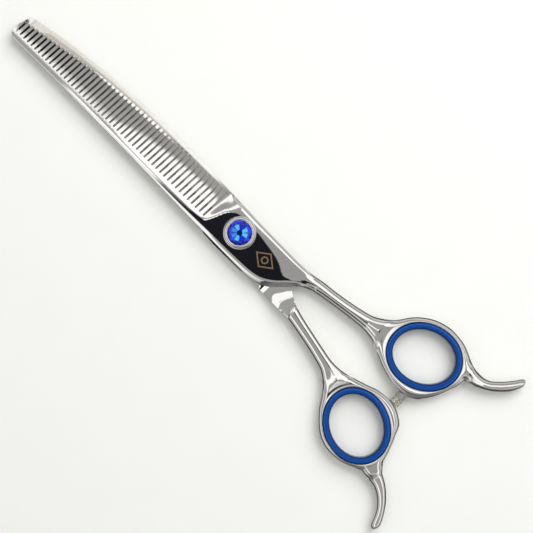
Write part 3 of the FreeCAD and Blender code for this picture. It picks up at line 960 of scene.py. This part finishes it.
class SHEARS_OT_inserts(bpy.types.Operator):
    """Soft blue inserts in both finger rings"""

    bl_idname = "shears.inserts"
    bl_label = "Ring inserts"

    def execute(self, context):
        scene = context.scene
        plastic = insert_plastic(scene.shear_colours.insert)
        half = 0.5 * scene.shear_sizes.insert_height
        start = 8                               # radius at which the section is spun
        for name, body, cad, centre, tilt in (
                ("Comb_ring_insert", "comb_side", "comb_ring_insert", RIGHT_HOLE, RING_TILT),
                ("Plain_ring_insert", "plain_side", "plain_ring_insert", LEFT_HOLE, -RING_TILT)):
            bm = bmesh.new()
            spin_line(bm, [(start + share, level) for share, level in INSERT_SECTION], 96, True)
            across = bm.verts.layers.float.new("across")
            for v in bm.verts:
                angle = math.atan2(v.co.y, v.co.x)
                share = v.co.xy.length - start
                v[across] = share
                inner = ellipse_point(centre, (10.75, 8.75), tilt, angle)
                outer = ellipse_point(centre, (13.15, 11.2), tilt, angle)
                v.co = inner.lerp(outer, share) + Vector((0, 0, MIDDLE_Z + half * v.co.z))
            subdivide(make_piece(bm, name, body, [cad], [plastic]))
        return {"FINISHED"}


# ---- pivot hardware ----
class SHEARS_OT_pivot(bpy.types.Operator):
    """Pivot screw, chromed tension knob and foil-backed crystal"""

    bl_idname = "shears.pivot"
    bl_label = "Pivot and jewel"

    def execute(self, context):
        colours = context.scene.shear_colours
        screw_steel = turned_steel((0.66, 0.66, 0.66), "Turned steel")
        chrome = polished_steel((0.72, 0.71, 0.70), "Knob chrome")
        jewel = crystal_glass(colours.crystal, colours.painted_glint)
        screw = turned([(0, 0), (4.25, 0.0), (4.43, 0.07), (4.5, 0.25), (4.5, 1.2), (2.25, 1.2),
                        (2.25, 5.7), (2.0, 6.15), (0, 6.15)], 96)
        make_piece(screw, "Pivot_screw", "plain_side", ["pivot_screw"],
                   [screw_steel], 30)
        knob = turned([(0, 6.2), (2.3, 6.2), (2.3, 5.66), (4.2, 5.66), (4.2, 4.95), (5.15, 4.95),
                       (5.38, 5.04), (5.5, 5.3), (5.5, 6.7), (5.42, 7.15), (5.18, 7.48),
                       (4.85, 7.66), (4.55, 7.7), (4.28, 7.66), (4.16, 7.56), (4.14, 7.36),
                       (1.2, 6.48), (0, 6.42)], 128)
        make_piece(knob, "Tension_knob", "knob", ["tension_knob"], [chrome], 40)
        self.crystal(jewel)
        nylon = moulded("Nylon", (0.82, 0.80, 0.72), 0.9, 900.0, 3.0, (0.45, 0.6))
        for name, material in (("flat_washer", screw_steel), ("wave_spring", screw_steel),
                               ("screw_bush", nylon), ("glide_washer", nylon)):
            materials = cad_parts[name].data.materials
            materials.clear()
            materials.append(material)
        return {"FINISHED"}

    def crystal(self, jewel):
        """Chaton: table, two rows of crown facets, rim and pointed back."""
        bm = bmesh.new()
        # radius, height and number of corners from the table to the point of the back
        levels = ((2.7, 8.15, 8), (3.5, 7.9, 16), (4.1, 7.5, 16), (4.1, 7.38, 16), (1.15, 6.5, 16))
        loops = []
        for radius, height, sides in levels:
            turn = math.pi / sides if sides == 8 else 0.0
            made = bmesh.ops.create_circle(
                bm, cap_ends=False, radius=radius, segments=sides,
                matrix=Matrix.Translation((0, 0, height)) @ Matrix.Rotation(turn, 4, "Z"))["verts"]
            loops.append(list({e for v in made for e in v.link_edges}))
        for a, b in zip(loops, loops[1:]):
            bmesh.ops.bridge_loops(bm, edges=a + b)
        bmesh.ops.edgeloop_fill(bm, edges=loops[0])
        bmesh.ops.edgeloop_fill(bm, edges=loops[-1])
        bmesh.ops.triangulate(bm, faces=[f for f in bm.faces if len(f.verts) == 4])
        piece = make_piece(bm, "Crystal", "knob", ["crystal"], [jewel], 1)
        piece.data.polygons.foreach_set("use_smooth", [False] * len(piece.data.polygons))


# ---- bumper ----
class SHEARS_OT_bumper(bpy.types.Operator):
    """Knurled bumper stud and its clear pad"""

    bl_idname = "shears.bumper"
    bl_label = "Bumper"

    def execute(self, context):
        colours = context.scene.shear_colours
        nickel = turned_steel(colours.nickel, "Warm nickel", 0.14)
        clear = moulded("Clear silicone", (0.72, 0.73, 0.70), 0.8, 400.0, 2.0, (0.25, 0.4), 0.8)
        profile = [(0, -2.35)]
        for start in (-2.3, -1.15):
            profile += [(1.6, start - 0.05), (1.9, start + 0.04), (2.05, start + 0.25),
                        (2.05, start + 0.75), (1.9, start + 0.96), (1.6, start + 1.05)]
        profile += [(1.5, -0.15), (0, -0.15)]
        stud = turned(profile, 48, axis=(1, 0, 0), centre=BUMPER)
        for v in stud.verts:
            arm = v.co - BUMPER
            arm.x = 0
            if arm.length > 1.95:               # flutes on the outer faces of the knurl
                angle = math.atan2(arm.z, arm.y)
                v.co -= arm.normalized() * 0.17 * (1 - math.cos(12 * angle))
        make_piece(stud, "Bumper_stud", "plain_side", ["bumper_screw"],
                   [nickel], 35)
        pad = turned([(0, -0.15), (1.6, -0.15), (1.75, -0.02), (1.75, 1.5), (1.62, 1.8),
                      (1.3, 1.94), (0, 1.95)], 64, axis=(1, 0, 0), centre=BUMPER)
        make_piece(pad, "Bumper_pad", "plain_side", ["bumper_pad"], [clear], 35)
        return {"FINISHED"}


# ---- stage ----
class SHEARS_OT_stage(bpy.types.Operator):
    """White table, soft studio light and the camera straight above"""

    bl_idname = "shears.stage"
    bl_label = "Stage"

    def execute(self, context):
        scene = context.scene
        bm = bmesh.new()
        bmesh.ops.create_grid(bm, x_segments=2, y_segments=2, size=2.0)
        mesh = bpy.data.meshes.new("Table")
        bm.to_mesh(mesh)
        bm.free()
        material, tree, shader = new_material("White table")
        grain = noise(tree, object_coords(tree), 60.0)
        finish(tree, shader, blend(tree, grain, (0.895, 0.9, 0.87, 1), (0.925, 0.93, 0.9, 1)),
               0.55)
        mesh.materials.append(material)
        table = bpy.data.objects.new("Table", mesh)
        scene.collection.objects.link(table)
        self.world(scene)
        self.lights(scene)
        self.camera(scene)
        return {"FINISHED"}

    def world(self, scene):
        """Room by angle from the zenith: dark overhead, bright ceiling, dim towards the walls."""
        world = bpy.data.worlds.new("Studio")
        world.use_nodes = True
        scene.world = world
        tree = world.node_tree
        calc = partial(math_node, tree)
        direction = node(tree, "ShaderNodeTexCoord", "Generated")
        x, y, z = split(tree, direction)
        angle = calc("DIVIDE", calc("ARCCOSINE", z), math.pi / 2)
        # degrees from the zenith and brightness there; the patch overhead is dark and bluish
        levels = ((0, 0.012), (5.6, 0.014), (7.6, 0.40), (14, 0.43), (20, 0.5), (24, 1.3),
                  (38, 1.3), (43, 0.5), (52, 0.36), (59, 0.8), (67, 0.6), (75, 0.14), (90, 0.05))
        room = colour_ramp(tree, angle, [
            (degrees / 90, (grey, 1.05 * grey, 1.5 * grey, 1) if grey < 0.02
             else (grey, grey, 0.985 * grey, 1)) for degrees, grey in levels])
        # a dim side, a wide window to the right and a small lamp above the blades
        person = self.towards(tree, direction, (-0.69, -0.72, 0.75), 38, 18)
        leaning = calc("MAXIMUM", calc("MULTIPLY_ADD", y, 16.95, -1.186), 0.0)
        sill = calc("MULTIPLY_ADD", calc("POWER", leaning, 3.0), 0.034, 0.208)
        window = remap(tree, calc("SUBTRACT", x, sill), 0.0, 1.0, -0.014, 0.014)
        window = calc("MULTIPLY", window, remap(tree, x, 0.0, 1.0, 0.66, 0.60))
        window = calc("MULTIPLY", window, remap(tree, y, 0.0, 1.0, -0.42, -0.35))
        lamp = remap(tree, calc("ABSOLUTE", calc("ADD", x, 0.01)), 0.0, 1.0, 0.11, 0.09)
        beside = calc("ABSOLUTE", calc("SUBTRACT", y, 0.154))
        lamp = calc("MULTIPLY", lamp, remap(tree, beside, 0.0, 1.0, 0.046, 0.038))
        lit = blend(tree, calc("MAXIMUM", window, lamp), room, (1.4, 1.4, 1.39, 1))
        background = tree.nodes["Background"]
        wire(tree, lit, background.inputs["Color"])
        wire(tree, calc("MULTIPLY_ADD", person, -0.7, 1.0), background.inputs["Strength"])

    def towards(self, tree, direction, aim, outer, inner):
        """1 within inner degrees of aim, falling to 0 at outer degrees."""
        dot = tree.nodes.new("ShaderNodeVectorMath")
        dot.operation = "DOT_PRODUCT"
        dot.inputs[1].default_value = Vector(aim).normalized()
        tree.links.new(direction, dot.inputs[0])
        return remap(tree, dot.outputs["Value"], 0.0, 1.0, math.cos(math.radians(outer)),
                     math.cos(math.radians(inner)))

    def lights(self, scene):
        """Softbox beside the table, for the soft shadow on it."""
        data = bpy.data.lights.new("Softbox", "AREA")
        data.shape = "RECTANGLE"
        data.size, data.size_y = 0.6, 0.6
        data.energy = 4.2
        lamp = bpy.data.objects.new("Softbox", data)
        lamp.location = (0.55, 0.05, 0.55)
        lamp.rotation_euler = (-lamp.location).to_track_quat("-Z", "Y").to_euler()
        lamp.visible_glossy = False             # the steel shows the room, not the lamp
        scene.collection.objects.link(lamp)

    def camera(self, scene):
        """Camera straight above, turned so that the blades point to the upper left."""
        data = bpy.data.cameras.new("Camera")
        data.lens = 100.0
        data.sensor_width = 36.0
        camera = bpy.data.objects.new("Camera", data)
        view_width = 0.178
        right = Vector((0.7206, -0.6934, 0.0))
        up = Vector((0.6934, 0.7206, 0.0))
        distance = view_width * data.lens / data.sensor_width
        turn = Matrix((right, up, Vector((0, 0, 1)))).transposed().to_4x4()
        camera.matrix_world = Matrix.Translation((-0.0013, -0.0142, distance + 0.0035)) @ turn
        scene.collection.objects.link(camera)
        scene.camera = camera
        scene.view_settings.view_transform = "Standard"


# ---- panel and registration ----
BUILD_ORDER = (SHEARS_OT_comb_blade, SHEARS_OT_plain_blade, SHEARS_OT_handles, SHEARS_OT_inserts,
               SHEARS_OT_pivot, SHEARS_OT_bumper, SHEARS_OT_stage)


class SHEARS_PT_panel(bpy.types.Panel):
    """Lists the steps and the settings"""

    bl_label = "Thinning shears"
    bl_idname = "SHEARS_PT_panel"
    bl_space_type = "VIEW_3D"
    bl_region_type = "UI"
    bl_category = "Shears"

    def draw(self, context):
        for step in BUILD_ORDER:
            self.layout.operator(step.bl_idname)
        for settings in (context.scene.shear_sizes, context.scene.shear_colours):
            box = self.layout.box()
            for name in settings.__annotations__:
                box.prop(settings, name)


CLASSES = (ShearColours, ShearSizes, *BUILD_ORDER, SHEARS_PT_panel)


def register():
    for cls in CLASSES:
        bpy.utils.register_class(cls)
    bpy.types.Scene.shear_colours = PointerProperty(type=ShearColours)
    bpy.types.Scene.shear_sizes = PointerProperty(type=ShearSizes)


def unregister():
    del bpy.types.Scene.shear_sizes
    del bpy.types.Scene.shear_colours
    for cls in reversed(CLASSES):
        bpy.utils.unregister_class(cls)


def main():
    register()
    for step in BUILD_ORDER:
        group, name = step.bl_idname.split(".")
        getattr(getattr(bpy.ops, group), name)()


if __name__ == "__main__":
    main()
